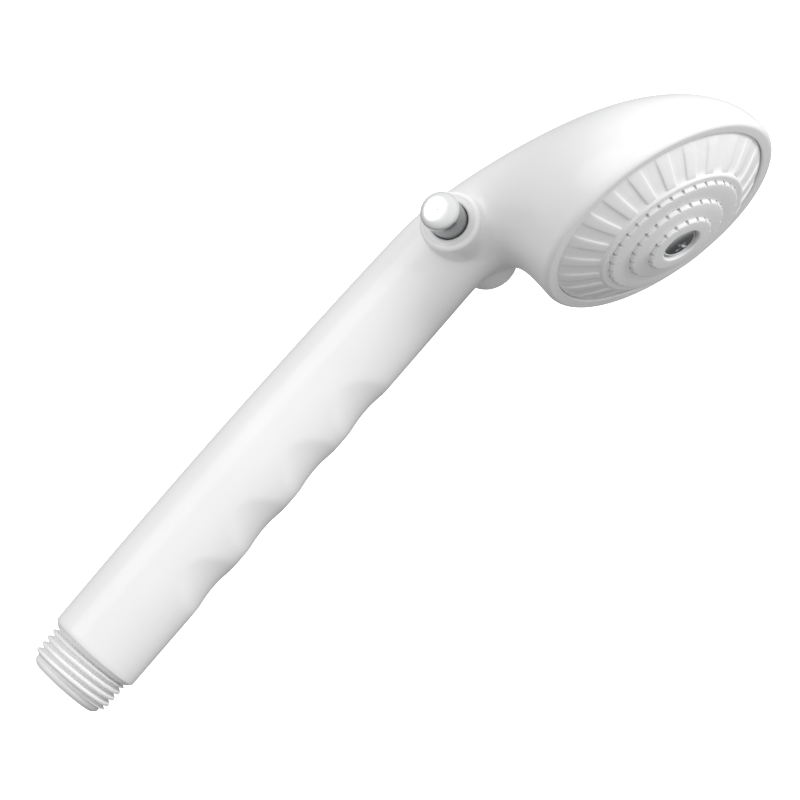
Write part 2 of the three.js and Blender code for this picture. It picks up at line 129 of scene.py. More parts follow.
# Spray plate: heights are measured outwards from the rim's front plane
PLATE_RADIUS, PLATE_EDGE, PLATE_SKIRT = 27.5, -0.68, -3.6
PLATE_WALL, PLATE_THICK, PLATE_HOLE = 1.3, 1.8, 2.6
FLUTE_COUNT, FLUTE_OUTER, FLUTE_INNER, FLUTE_TOP, FLUTE_LAND = 23, 27.1, 19.4, 3.9, 0.34
STEPS = ((17.1, 4.85, 5.7, 33), (12.4, 6.05, 6.95, 25), (8.2, 7.6, 8.5, 17))
NOTCH_WIDTH, NOTCH_DEPTH = 0.7, 0.8
RECESS_RADIUS, RECESS_FLOOR = 4.72, 6.8
POST_RADIUS, POST_FRONT, POST_HOLE, POST_HOLE_DEPTH = 5.2, -1.4, 3.45, 12

COLUMNS = 160
HANDLE_ROWS, HEAD_ROWS = 110, 66


def lerp(a, b, t):
    return a + (b - a) * t


def smooth(t):
    """0 below 0, 1 above 1, and an S-curve between them."""
    t = min(1.0, max(0.0, t))
    return t * t * (3 - 2 * t)


def on_face(up, out, side=0.0):
    """A point placed from the face's centre: up the face, out of it and sideways."""
    return FACE_CENTRE + FACE_UP * up + FACE_OUT * out + Vector((side, 0, 0))


# ---------------------------------------------------------------- mesh building


class Surface:
    """Points in millimetres, and the faces between rings of them."""

    def __init__(self):
        self.points = []
        self.faces = []

    def ring(self, points):
        start = len(self.points)
        self.points.extend(points)
        return list(range(start, len(self.points)))

    def strip(self, first, second, closed=True):
        count = len(first) if closed else len(first) - 1
        for i in range(count):
            j = (i + 1) % len(first)
            self.faces.append((first[i], first[j], second[j], second[i]))

    def strips(self, rings):
        for first, second in zip(rings, rings[1:]):
            self.strip(first, second)

    def cap(self, ring):
        middle = sum((self.points[i] for i in ring), Vector()) / len(ring)
        hub = self.ring([middle])[0]
        for i, point in enumerate(ring):
            self.faces.append((point, ring[(i + 1) % len(ring)], hub))

    def build(self, name, sharp=30):
        mesh = bpy.data.meshes.new(name)
        mesh.from_pydata([p * MM for p in self.points], [], self.faces)
        obj = bpy.data.objects.new(name, mesh)
        bpy.context.scene.collection.objects.link(obj)
        tidy(obj, sharp)
        return obj


def tidy(obj, sharp=30):
    """Welds, points every face outwards, and keeps only the edges over `sharp` degrees crisp."""
    work = bmesh.new()
    work.from_mesh(obj.data)
    bmesh.ops.remove_doubles(work, verts=work.verts, dist=1e-7)
    bmesh.ops.recalc_face_normals(work, faces=work.faces)
    limit = math.radians(sharp)
    for face in work.faces:
        face.smooth = True
    for edge in work.edges:
        edge.smooth = edge.is_manifold and edge.calc_face_angle(0) < limit
    work.to_mesh(obj.data)
    work.free()


def lathe_rings(surface, profile, columns, place=None):
    """One ring about +Z, moved by place, for each [radius, height] point. The rings aren't joined."""
    rings = []
    for radius, height in profile:
        points = []
        for i in range(columns):
            angle = TURN * i / columns
            points.append(Vector((radius * math.cos(angle), radius * math.sin(angle), height)))
        rings.append(surface.ring([place @ p for p in points] if place else points))
    return rings


def lathe(surface, profile, columns, place=None, closed=True):
    """Turns a profile about +Z. A closed profile joins its last point to its first."""
    rings = lathe_rings(surface, profile, columns, place)
    surface.strips(rings + rings[:1] if closed else rings)
    return rings


def arc(centre, radii, start, end, steps):
    """Points [r, h] on an elliptical arc, angles in degrees."""
    points = []
    for i in range(steps + 1):
        angle = math.radians(lerp(start, end, i / steps))
        points.append((centre[0] + radii[0] * math.cos(angle), centre[1] + radii[1] * math.sin(angle)))
    return points


def turned(name, profile, columns, place=None, closed=True, sharp=30):
    """A turned piece of its own. An open profile starts and ends on the axis and gets caps there."""
    surface = Surface()
    rings = lathe(surface, profile, columns, place, closed)
    if not closed:
        surface.cap(rings[0])
        surface.cap(rings[-1])
    return surface.build(name, sharp)


def boolean(obj, tool, operation, sharp=30):
    """Cuts obj by tool, or joins them, and deletes tool."""
    change = obj.modifiers.new("cut", "BOOLEAN")
    change.operation = operation
    change.solver = "EXACT"
    change.object = tool
    bpy.context.view_layer.update()
    result = bpy.data.meshes.new_from_object(obj.evaluated_get(bpy.context.evaluated_depsgraph_get()))
    obj.modifiers.clear()
    obj.data = result
    bpy.data.objects.remove(tool)
    tidy(obj, sharp)
    return obj


def boxes(name, places):
    """One mesh of boxes: each place is (matrix, half sizes, how much narrower its low end is)."""
    work = bmesh.new()
    for matrix, half, taper in places:
        made = bmesh.ops.create_cube(work, size=2.0)
        for vert in made["verts"]:
            shrink = taper if vert.co.z < 0 else 1.0
            local = Vector((vert.co.x * half[0] * shrink, vert.co.y * half[1] * shrink, vert.co.z * half[2]))
            vert.co = (matrix @ local) * MM
    mesh = bpy.data.meshes.new(name)
    work.to_mesh(mesh)
    work.free()
    obj = bpy.data.objects.new(name, mesh)
    bpy.context.scene.collection.objects.link(obj)
    return obj


# Frames for turned pieces: along the spool to +X, along it to -X, and out of the spray face.
TO_FAR = Matrix.Translation(Vector((0, VALVE.y, VALVE.z))) @ Matrix.Rotation(math.pi / 2, 4, "Y")
TO_NEAR = TO_FAR @ Matrix.Rotation(math.pi, 4, "X")
OUT_OF_FACE = Matrix.Translation(FACE_CENTRE) @ Matrix.Rotation(math.pi / 2 + FACE_TILT, 4, "X")


# ---------------------------------------------------------------- materials


class Nodes:
    """A short way to write a node tree."""

    def __init__(self, name):
        self.material = bpy.data.materials.new(name)
        self.material.use_nodes = True
        self.tree = self.material.node_tree
        self.shader = self.tree.nodes["Principled BSDF"]
        self.coordinates = self.tree.nodes.new("ShaderNodeTexCoord").outputs["Object"]

    def set(self, **values):
        for key, value in values.items():
            self.shader.inputs[key.replace("_", " ")].default_value = value

    def link(self, source, target):
        self.tree.links.new(source, target)

    def noise(self, scale, detail=3.0, stretch=(1, 1, 1)):
        mapping = self.tree.nodes.new("ShaderNodeMapping")
        mapping.inputs["Scale"].default_value = stretch
        self.link(self.coordinates, mapping.inputs["Vector"])
        node = self.tree.nodes.new("ShaderNodeTexNoise")
        node.inputs["Scale"].default_value = scale
        node.inputs["Detail"].default_value = detail
        self.link(mapping.outputs["Vector"], node.inputs["Vector"])
        return node.outputs["Fac"]

    def specks(self, scale, size):
        """1 on small round specks, 0 between them."""
        node = self.tree.nodes.new("ShaderNodeTexVoronoi")
        node.inputs["Scale"].default_value = scale
        self.link(self.coordinates, node.inputs["Vector"])
        return self.range(node.outputs["Distance"], size, size * 0.5, 0.0, 1.0)

    def range(self, value, low, high, to_low, to_high):
        node = self.tree.nodes.new("ShaderNodeMapRange")
        for key, number in zip(("From Min", "From Max", "To Min", "To Max"), (low, high, to_low, to_high)):
            node.inputs[key].default_value = number
        self.link(value, node.inputs["Value"])
        return node.outputs["Result"]

    def mix(self, factor, first, second):
        node = self.tree.nodes.new("ShaderNodeMix")
        node.data_type = "RGBA"
        self.link(factor, node.inputs["Factor"])
        for socket, colour in ((node.inputs[6], first), (node.inputs[7], second)):
            if isinstance(colour, tuple):
                socket.default_value = (*colour, 1)
            else:
                self.link(colour, socket)
        return node.outputs[2]

    def bump(self, height, strength, distance, before=None):
        node = self.tree.nodes.new("ShaderNodeBump")
        node.inputs["Strength"].default_value = strength
        node.inputs["Distance"].default_value = distance * MM
        self.link(height, node.inputs["Height"])
        if before:
            self.link(before, node.inputs["Normal"])
        return node.outputs["Normal"]


def moulded_white(name, colour, rough, peel=0.012):
    """Gloss white ABS: a faint flow mottle, fine orange peel, hairline wear and a few dust specks."""
    nodes = Nodes(name)
    shade = tuple(c * 0.97 for c in colour)
    mottle = nodes.range(nodes.noise(38, 4), 0.35, 0.65, 0.0, 1.0)
    base = nodes.mix(mottle, colour, shade)
    dust = nodes.mix(nodes.specks(95, 0.016), base, (0.5, 0.48, 0.46))
    nodes.link(dust, nodes.shader.inputs["Base Color"])
    gloss = nodes.range(nodes.noise(90, 5), 0.3, 0.7, rough * 0.8, rough * 1.3)
    nodes.link(gloss, nodes.shader.inputs["Roughness"])
    scuffs = nodes.bump(nodes.noise(700, 2, (1, 1, 0.08)), 0.12, 0.004)
    nodes.link(nodes.bump(nodes.noise(520, 3), 0.35, peel, scuffs), nodes.shader.inputs["Normal"])
    nodes.set(IOR=1.53)
    return nodes.material


def polished_metal(name, colour, rough, grain=(1, 1, 1), marks=0.004):
    """Bright metal with an uneven tone, patchy gloss and fine marks that `grain` stretches."""
    nodes = Nodes(name)
    tone = nodes.range(nodes.noise(120, 4), 0.3, 0.7, 0.0, 1.0)
    darker = tuple(c * 0.93 for c in colour)
    nodes.link(nodes.mix(tone, colour, darker), nodes.shader.inputs["Base Color"])
    gloss = nodes.range(nodes.noise(300, 5, grain), 0.3, 0.75, rough * 0.7, rough * 1.6)
    nodes.link(gloss, nodes.shader.inputs["Roughness"])
    nodes.link(nodes.bump(nodes.noise(900, 2, grain), 0.15, marks), nodes.shader.inputs["Normal"])
    nodes.set(Metallic=1.0)
    return nodes.material


def dull(name, colour, rough, grain_scale, depth):
    """Rubber and unpainted acetal: fine matt grain with slight tone changes."""
    nodes = Nodes(name)
    tone = nodes.range(nodes.noise(160, 4), 0.3, 0.7, 0.0, 1.0)
    darker = tuple(c * 0.82 for c in colour)
    nodes.link(nodes.mix(tone, colour, darker), nodes.shader.inputs["Base Color"])
    gloss = nodes.range(nodes.noise(500, 3), 0.3, 0.7, rough * 0.85, min(1, rough * 1.15))
    nodes.link(gloss, nodes.shader.inputs["Roughness"])
    nodes.link(nodes.bump(nodes.noise(grain_scale, 3), 0.4, depth), nodes.shader.inputs["Normal"])
    return nodes.material


SLOTS = {
    "white_body": moulded_white("white_body_plastic", (0.885, 0.885, 0.89), 0.2),
    "white_face": moulded_white("white_face_plastic", (0.87, 0.87, 0.875), 0.3, 0.008),
    "white_thread": moulded_white("white_thread_plastic", (0.87, 0.87, 0.875), 0.32, 0.01),
    "chrome": polished_metal("chrome_plate", (0.86, 0.865, 0.87), 0.2),
    "screw_steel": polished_metal("screw_steel", (0.8, 0.81, 0.82), 0.12),
    "brass": polished_metal("turned_brass", (0.72, 0.55, 0.27), 0.28, (1, 1, 12), 0.01),
    "rubber": dull("black_rubber", (0.03, 0.03, 0.031), 0.75, 1400, 0.01),
    "acetal": dull("natural_acetal", (0.78, 0.8, 0.8), 0.45, 1100, 0.006),
    "strainer": polished_metal("strainer_wire", (0.62, 0.63, 0.64), 0.25, (1, 1, 1), 0.006),
}
NODE_SLOT = {row["node"]: row["material_slot"] for row in frame["record"]["subparts"]}


def finish_piece(obj, node, material=None):
    """Makes obj stand for a CAD node: its body, its slot and its material."""
    slot = NODE_SLOT[node]
    obj.data.materials.clear()
    obj.data.materials.append(material or SLOTS[slot])
    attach(obj, frame["nodes"][node]["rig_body"])
    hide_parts(node)


# ---------------------------------------------------------------- handle body


def handle_section(z):
    """The handle's centre in y and its radius at a height: slightly bowed and slightly swollen."""
    t = (z - HANDLE_END) / (HANDLE_TOP - HANDLE_END)
    arch = 4 * t * (1 - t)
    return BOW * arch + LEAN * t, lerp(RADIUS_END, RADIUS_TOP, t) + SWELL * arch


def scallop_depth(z, front):
    """Depth of the nearest finger scallop, a shallow bowl; front is 1 straight ahead and 0 at the sides."""
    nearest = min(SCALLOP_COUNT - 1, max(0, round((z - SCALLOP_FIRST) / SCALLOP_PITCH)))
    along = (z - SCALLOP_FIRST - nearest * SCALLOP_PITCH) / SCALLOP_HALF
    bowl = 1 - along * along - (1 - front) / (1 - math.cos(SCALLOP_WRAP))
    soft_edge = 0.07
    return SCALLOP_DEPTH * (bowl + math.hypot(bowl, soft_edge)) / 2


def head_curve(side, pull):
    """The head's back (side 1) or neck (side -1) outline in the plane x = 0, as four Bezier points."""
    leave_length, arrive_length, lift = pull
    middle, radius = handle_section(HANDLE_TOP)
    taper = RADIUS_TOP - RADIUS_END - 4 * SWELL
    slope = (LEAN - 4 * BOW + side * taper) / (HANDLE_TOP - HANDLE_END)
    start = Vector((0, middle + side * radius, HANDLE_TOP))
    leave = start + Vector((0, slope, 1)).normalized() * leave_length
    arrive = on_face(side * RIM_RADIUS + lift, -RIM_DEPTH - arrive_length)
    return start, leave, arrive, on_face(side * RIM_RADIUS, -RIM_DEPTH)


BACK_CURVE = head_curve(1, BACK_PULL)
NECK_CURVE = head_curve(-1, NECK_PULL)


def bezier(curve, u):
    """A point of a cubic Bezier curve."""
    a, b, c, d = curve
    v = 1 - u
    return a * v**3 + b * (3 * u * v * v) + c * (3 * u * u * v) + d * u**3


def head_section(u, inset=0.0):
    """The head's oval section at u: its centre, its half depth as a vector and its half width."""
    back, neck = bezier(BACK_CURVE, u), bezier(NECK_CURVE, u)
    half = (back - neck).length / 2
    width = half * (1 + HEAD_BULGE * math.sin(math.pi * u)) - inset
    return (back + neck) / 2, (back - neck).normalized() * (half - inset), width


def skin(v, angle):
    """The outside of the body: v is 0 to 1 up the handle and 1 to 2 through the head; angle 0 is +X."""
    across, deep = math.cos(angle), math.sin(angle)
    if v > 1:
        centre, depth, width = head_section(v - 1)
        return centre + depth * deep + Vector((width * across, 0, 0))
    z = lerp(HANDLE_END + END_CHAMFER, HANDLE_TOP, v)
    middle, radius = handle_section(z)
    radius -= scallop_depth(z, -deep)
    return Vector((radius * across, middle + radius * deep, z))


def skin_inverse(y, z, v, angle):
    """The v and angle at which the skin passes through y and z, by Newton's method from a first guess."""
    step = 1e-4
    for _ in range(12):
        here = skin(v, angle)
        along = (skin(v + step, angle) - here) / step
        around = (skin(v, angle + step) - here) / step
        miss_y, miss_z = y - here.y, z - here.z
        area = along.y * around.z - along.z * around.y
        v += (miss_y * around.z - miss_z * around.y) / area
        angle += (along.y * miss_z - along.z * miss_y) / area
    return v, angle


def boss_boundary(rows, side):
    """Row and column of each grid point round the valve boss, on the +X or the -X side."""
    front, back = round(COLUMNS * PATCH_FRONT / 360), round(COLUMNS * PATCH_BACK / 360)
    column = (lambda j: j % COLUMNS) if side > 0 else (lambda j: (COLUMNS // 2 - j) % COLUMNS)
    low = max(i for i, v in enumerate(rows) if skin(v, 0).z < VALVE.z - PATCH_HALF)
    high = min(i for i, v in enumerate(rows) if skin(v, 0).z > VALVE.z + PATCH_HALF)
    loop = [(low, column(j)) for j in range(-front, back)]
    loop += [(i, column(back)) for i in range(low, high)]
    loop += [(high, column(j)) for j in range(back, -front, -1)]
    loop += [(i, column(-front)) for i in range(high, low, -1)]
    inside = {(i, column(j)) for i in range(low, high) for j in range(-front, back)}
    if side < 0:
        inside = {(i, (j - 1) % COLUMNS) for i, j in inside}
    return loop, inside


def valve_ring(radius, x, angles):
    """A ring round the valve's axis; angle 0 is +Y and a quarter turn is +Z."""
    return [Vector((x, VALVE.y + radius * math.cos(a), VALVE.z + radius * math.sin(a))) for a in angles]


def fillet_width(angle):
    """0 where the boss meets the handle in a tight crease, 1 where it flows into the neck."""
    return smooth((math.cos(angle - FILLET_WIDEST) - 0.25) / 0.65)


def boss_patch(surface, grid, rows, side):
    """Rings from the body's skin in to the boss, out along it and over its end. Returns the hole's ring."""
    loop, _ = boss_boundary(rows, side)
    outline = [grid[i][j] for i, j in loop]
    angles = [math.atan2(surface.points[k].z - VALVE.z, surface.points[k].y - VALVE.y) for k in outline]

    def on_skin(radius, angle, guess):
        y, z = VALVE.y + radius * math.cos(angle), VALVE.z + radius * math.sin(angle)
        v, turn = skin_inverse(y, z, *guess)
        return (v, turn), skin(v, turn)

    outer, inner, under, foot, widths = [], [], [], [], []
    for (i, j), angle in zip(loop, angles):
        width = fillet_width(angle)
        fillet = lerp(*FILLET_RADIUS, width)
        widths.append(width)
        turn = TURN * j / COLUMNS
        if side < 0:
            turn = math.pi - turn
        turn = (turn + math.pi) % TURN - math.pi
        outer.append((rows[i], turn))
        guess, _ = on_skin(fillet, angle, (lerp(rows[i], 1.08, 0.4), turn * 0.6))
        inner.append(guess)
        guess, point = on_skin(lerp(fillet, BOSS_RADIUS, 0.6), angle, guess)
        under.append(point)
        foot.append(on_skin(BOSS_RADIUS, angle, guess)[1])

    def mirrored(point):
        return Vector((side * point.x, point.y, point.z))

    rings = [outline]
    steps = 7
    for k in range(1, steps + 1):
        t = k / steps
        points = [skin(lerp(a[0], b[0], t), lerp(a[1], b[1], t)) for a, b in zip(outer, inner)]
        rings.append(surface.ring([mirrored(p) for p in points]))
    edge = [skin(*b) for b in inner]
    fillet_steps = 7
    shoulder = BOSS_HALF - BOSS_ROUND
    wall_start = []
    for f, width in zip(foot, widths):
        wall_start.append(Vector((min(f.x + lerp(*FILLET_RISE, width), shoulder - 0.3), f.y, f.z)))
    for k in range(1, fillet_steps + 1):
        t = k / fillet_steps
        points = []
        for e, n, f, w in zip(edge, under, foot, wall_start):
            points.append(bezier((e, n, f.lerp(w, 0.3), w), t))
        rings.append(surface.ring([mirrored(p) for p in points]))
    for t in (0.34, 0.67, 1.0):
        rings.append(surface.ring([mirrored(Vector((lerp(w.x, shoulder, t), w.y, w.z))) for w in wall_start]))
    for radius, x in arc((BOSS_RADIUS - BOSS_ROUND, shoulder), (BOSS_ROUND, BOSS_ROUND), 15, 90, 5):
        rings.append(surface.ring(valve_ring(radius, side * x, angles)))
    rings.append(surface.ring(valve_ring(BUSH_HOLE, side * BOSS_HALF, angles)))
    surface.strips(rings)
    return rings[-1], angles


def valve_tunnel(surface, far_hole, near_hole, angles):
    """From the far boss's hole, through both bush seats and the bore between them, to the near hole."""
    rings = [far_hole]
    far_end = ((BUSH_HOLE, BUSH_BACK), (VALVE_BORE, BUSH_BACK))
    near_end = ((VALVE_BORE, -BUSH_BACK), (BUSH_HOLE, -BUSH_BACK))
    for radius, x in far_end + near_end:
        rings.append(surface.ring(valve_ring(radius, x, angles)))
    surface.strips(rings + [near_hole])


def round_ring(centre, depth, width):
    """An oval ring: depth is a half axis as a vector, width the half axis along X."""
    angles = [TURN * j / COLUMNS for j in range(COLUMNS)]
    return [centre + depth * math.sin(a) + Vector((width * math.cos(a), 0, 0)) for a in angles]


def handle_inside(surface, first):
    """From the skin's lowest ring, round the handle's end and up the waterway."""
    middle, radius = handle_section(HANDLE_END)
    soft = 0.14
    profile = [(radius - soft * 0.3, HANDLE_END + END_CHAMFER - soft)]
    profile.append((radius - soft * 1.3, HANDLE_END + END_CHAMFER - soft * 2.2))
    profile.append((radius - END_CHAMFER + soft, HANDLE_END + soft))
    profile.append((radius - END_CHAMFER - soft, HANDLE_END))
    profile.append((SOCKET_RADIUS + 0.15, HANDLE_END))
    profile += [(SOCKET_RADIUS, HANDLE_END + 0.15), (SOCKET_RADIUS, SOCKET_TOP)]
    profile += [(BORE_RADIUS, SOCKET_TOP), (BORE_RADIUS, BORE_TOP), (PORT_RADIUS, TAPER_TOP)]
    rings = [first]
    for r, z in profile:
        rings.append(surface.ring(round_ring(Vector((0, middle, z)), Vector((0, r, 0)), r)))
    surface.strips(rings)
    surface.cap(rings[-1])


def head_inside(surface, last):
    """From the skin's last ring, over the rim, down into the plate's seat and the chamber behind it.

    Returns the chamber wall's height out of the face on the face's axis, and the highest near the post.
    """
    rings = [last]
    flat = RIM_RADIUS - RIM_ROUND
    for r, h in arc((flat, -RIM_DEPTH), (RIM_ROUND, RIM_DEPTH), 8, 90, 9):
        rings.append(surface.ring(round_ring(on_face(0, h), FACE_UP * r, r)))
    seat = [(SEAT_RADIUS + 0.2, 0.0), (SEAT_RADIUS, -0.2), (SEAT_RADIUS, SEAT_FLOOR)]
    for r, h in seat + [(CHAMBER_RADIUS, SEAT_FLOOR), (CHAMBER_RADIUS, SEAT_FLOOR - 1.4)]:
        rings.append(surface.ring(round_ring(on_face(0, h), FACE_UP * r, r)))
    steps = 16
    for k in range(steps + 1):
        centre, depth, width = head_section(lerp(0.88, 0.36, k / steps), WALL)
        rings.append(surface.ring(round_ring(centre, depth, width)))
    surface.strips(rings)
    surface.cap(rings[-1])
    chamber = [surface.points[i] - FACE_CENTRE for ring in rings[-steps:] for i in ring]
    middle = min(chamber, key=lambda p: p.cross(FACE_OUT).length).dot(FACE_OUT)
    nearest = max(p.dot(FACE_OUT) for p in chamber if p.cross(FACE_OUT).length < POST_RADIUS + 0.3)
    return middle, nearest


def handle_body():
    """The white moulding: skin, valve bosses, waterway, plate seat and the post that takes the screw."""
    surface = Surface()
    rows = [i / HANDLE_ROWS for i in range(HANDLE_ROWS)] + [1 + i / HEAD_ROWS for i in range(HEAD_ROWS + 1)]
    grid = [surface.ring([skin(v, TURN * j / COLUMNS) for j in range(COLUMNS)]) for v in rows]
    skipped = boss_boundary(rows, 1)[1] | boss_boundary(rows, -1)[1]
    for i in range(len(rows) - 1):
        for j in range(COLUMNS):
            if (i, j) not in skipped:
                k = (j + 1) % COLUMNS
                surface.faces.append((grid[i][j], grid[i][k], grid[i + 1][k], grid[i + 1][j]))
    far_hole, angles = boss_patch(surface, grid, rows, 1)
    near_hole, _ = boss_patch(surface, grid, rows, -1)
    valve_tunnel(surface, far_hole, near_hole, angles)
    handle_inside(surface, grid[0])
    wall_middle, wall_nearest = head_inside(surface, grid[-1])
    used = {k for face in surface.faces for k in face}
    kept = sorted(used)
    number = {old: new for new, old in enumerate(kept)}
    surface.points = [surface.points[k] for k in kept]
    surface.faces = [tuple(number[k] for k in face) for face in surface.faces]
    body = surface.build("shower_handle_body")
    post = turned("post", [
        (0.01, wall_middle - 0.5 * WALL), (POST_RADIUS, wall_nearest - 0.2 * WALL),
        (POST_RADIUS, POST_FRONT - 0.3), (POST_RADIUS - 0.3, POST_FRONT), (POST_HOLE, POST_FRONT),
        (POST_HOLE, POST_FRONT - POST_HOLE_DEPTH), (0.01, POST_FRONT - POST_HOLE_DEPTH),
    ], 64, OUT_OF_FACE, closed=False)
    return boolean(body, post, "UNION")


finish_piece(handle_body(), "handle_body")


# ---------------------------------------------------------------- inlet

THREAD_PITCH, THREAD_CREST, THREAD_ROOT = 1.814, 10.45, 9.3
THREAD_START, THREAD_END, THREAD_FADE, THREAD_PHASE = 1.7, 9.35, 0.5, 0.3
PILOT_CHAMFER = 0.9


def thread_radius(z, angle):
    """Root radius plus the rounded ridge of a right-handed thread, faded in and out at its ends."""
    phase = (z / THREAD_PITCH - angle / TURN + THREAD_PHASE) % 1
    ridge = min(1.0, max(0.0, 1.3 - abs(phase - 0.5) * 2.6))
    ridge = lerp(ridge, smooth(ridge), 0.7)
    fade = min((z - THREAD_START) / THREAD_FADE, (THREAD_END - z) / THREAD_FADE, 1)
    return THREAD_ROOT + (THREAD_CREST - THREAD_ROOT) * ridge * smooth(fade)


def inlet_nipple():
    """The threaded connector: thread outside, then the spigot, its seal groove and the stepped bore."""
    surface = Surface()
    columns, rows = 120, 92
    rings = []
    for i in range(rows + 1):
        z = lerp(PILOT_CHAMFER + 0.1, THREAD_END + 0.02, i / rows)
        points = []
        for j in range(columns):
            angle = TURN * j / columns
            radius = thread_radius(z, angle)
            points.append(Vector((radius * math.cos(angle), radius * math.sin(angle), z)))
        rings.append(surface.ring(points))
    low, high = box_mm("inlet_nipple")
    seal_low, seal_high = box_mm("nipple_o_ring")
    spigot, groove = 8.95, 7.85
    groove_low, groove_high = seal_low.z - 0.18, seal_high.z + 0.18
    mouth, mouth_depth, bore, outlet, seat = 7.0, 5.6, 6.0, 5.0, 10.4
    inside = [
        (spigot, THREAD_END + 0.35), (spigot, groove_low), (groove, groove_low), (groove, groove_high),
        (spigot, groove_high), (spigot, high.z - 0.5), (spigot - 0.5, high.z),
        (outlet, high.z), (outlet, seat), (bore, seat), (bore, mouth_depth), (mouth, mouth_depth),
        (mouth, 0.25), (mouth + 0.25, 0.0),
        (THREAD_ROOT - PILOT_CHAMFER, 0.0), (THREAD_ROOT - 0.12, PILOT_CHAMFER - 0.2),
    ]
    rings += lathe_rings(surface, inside, columns)
    surface.strips(rings + rings[:1])
    return surface.build("threaded_inlet", 38)


def wire(surface, points, radius, sides=6):
    """A closed tube along points."""
    circle = [TURN * k / sides for k in range(sides)]
    section = [Vector((radius * math.cos(a), radius * math.sin(a), 0)) for a in circle]
    rings = []
    for i, point in enumerate(points):
        ahead = points[min(i + 1, len(points) - 1)] - points[max(i - 1, 0)]
        turn = ahead.to_track_quat("Z", "Y").to_matrix()
        rings.append(surface.ring([point + turn @ offset for offset in section]))
    surface.strips(rings)
    surface.cap(rings[0])
    surface.cap(rings[-1])


def woven_screen():
    """A rimmed strainer: wires that pass over and under each other, held in a pressed ring."""
    low, high = box_mm("inlet_screen")
    radius, top = high.x, high.z
    surface = Surface()
    lathe(surface, [
        (radius - 1.1, low.z + 0.1), (radius - 1.0, low.z), (radius - 0.1, low.z), (radius, low.z + 0.1),
        (radius, top - 0.1), (radius - 0.1, top), (radius - 1.0, top), (radius - 1.1, top - 0.1),
    ], 72)
    pitch, thick = 0.86, 0.15
    middle = (low.z + top) / 2
    count = int((radius - 1.0) / pitch)
    for i in range(-count, count + 1):
        reach = math.sqrt((radius - 0.9) ** 2 - (i * pitch) ** 2)
        steps = max(4, 4 * round(reach / pitch))
        for turned_wire in (False, True):
            points = []
            for k in range(steps + 1):
                along = lerp(-reach, reach, k / steps)
                wave = 0.16 * math.cos(math.pi * (along / pitch + i + turned_wire))
                at = (i * pitch, along) if turned_wire else (along, i * pitch)
                points.append(Vector((*at, middle + wave)))
            wire(surface, points, thick)
    return surface.build("strainer", 40)


def o_ring(node):
    """A fine ring in the place of a CAD ring whose axis is its shortest side."""
    low, high = box_mm(node)
    size = high - low
    axis = min(range(3), key=lambda k: size[k])
    cord = size[axis] / 2 / math.cos(math.radians(30))
    radius = max(size) / 2 - cord
    turn = (Matrix.Rotation(math.pi / 2, 4, "Y"), Matrix.Rotation(math.pi / 2, 4, "X"), Matrix())[axis]
    place = Matrix.Translation((low + high) / 2) @ turn
    profile = arc((radius, 0), (cord, cord), 0, 360, 18)[:-1]
    return turned(node + "_ring", profile, 96, place)


finish_piece(inlet_nipple(), "inlet_nipple")
finish_piece(woven_screen(), "inlet_screen")
for ring_node in (
    "nipple_o_ring", "regulator_o_ring", "spool_o_ring_1", "spool_o_ring_2",
    "near_rod_seal", "far_rod_seal", "near_bush_o_ring", "far_bush_o_ring",
):
    finish_piece(o_ring(ring_node), ring_node)


# ---------------------------------------------------------------- pause valve

BUTTON_RADIUS, BUTTON_EDGE, BUTTON_DOME = 4.58, 0.5, 1.15
STEM_RADIUS, LAND_RADIUS, WAIST_RADIUS = 4.32, 4.9, 2.3


def valve_spool():
    """The stem right through the boss, with lands, seal grooves, a flow waist and tapped ends."""
    low_groove, high_groove = [box_mm(f"spool_o_ring_{i}") for i in (1, 2)]
    land_start, land_end, flange = -9.8, -3.2, 3.9
    profile = [(1.55, STEM_NEAR + 5.4), (1.55, STEM_NEAR + 0.2), (1.75, STEM_NEAR)]
    profile += [(STEM_RADIUS - 0.15, STEM_NEAR), (STEM_RADIUS, STEM_NEAR + 0.15)]
    profile += [(STEM_RADIUS, land_start), (LAND_RADIUS - 0.2, land_start)]
    profile.append((LAND_RADIUS, land_start + 0.2))
    for low, high in (low_groove, high_groove):
        start, end = low.x - 0.15, high.x + 0.15
        profile += [(LAND_RADIUS, start), (3.9, start), (3.9, end), (LAND_RADIUS, end)]
    profile += [(LAND_RADIUS, land_end), (WAIST_RADIUS, land_end), (WAIST_RADIUS, -land_end)]
    profile += [(LAND_RADIUS, -land_end), (LAND_RADIUS, flange), (STEM_RADIUS, flange)]
    profile += [(STEM_RADIUS, STEM_FAR - 0.15), (STEM_RADIUS - 0.15, STEM_FAR), (1.75, STEM_FAR)]
    profile += [(1.55, STEM_FAR - 0.2), (1.55, STEM_FAR - 5.4)]
    return turned("valve_spool_stem", profile, 96, TO_FAR, closed=False)


def push_button(name, place):
    """A domed cap with a tiny centre mark from the lathe, on the stud that screws into the spool."""
    profile = [(0.02, -5.0), (1.3, -5.0), (1.5, -4.8), (1.5, 0.0), (BUTTON_RADIUS - 0.35, 0.0)]
    profile += arc((BUTTON_RADIUS - 0.12, 0.12), (0.12, 0.12), -90, 0, 4)
    profile += arc((BUTTON_RADIUS - 0.14, BUTTON_EDGE - 0.05), (0.14, 0.14), 0, 55, 4)
    dome = arc((0, BUTTON_EDGE), (BUTTON_RADIUS - 0.1, BUTTON_DOME), 8, 86, 16)
    profile += dome + [(0.22, BUTTON_EDGE + BUTTON_DOME - 0.02), (0.12, BUTTON_EDGE + BUTTON_DOME - 0.12)]
    profile.append((0.02, BUTTON_EDGE + BUTTON_DOME - 0.15))
    return turned(name, profile, 96, place, closed=False, sharp=40)


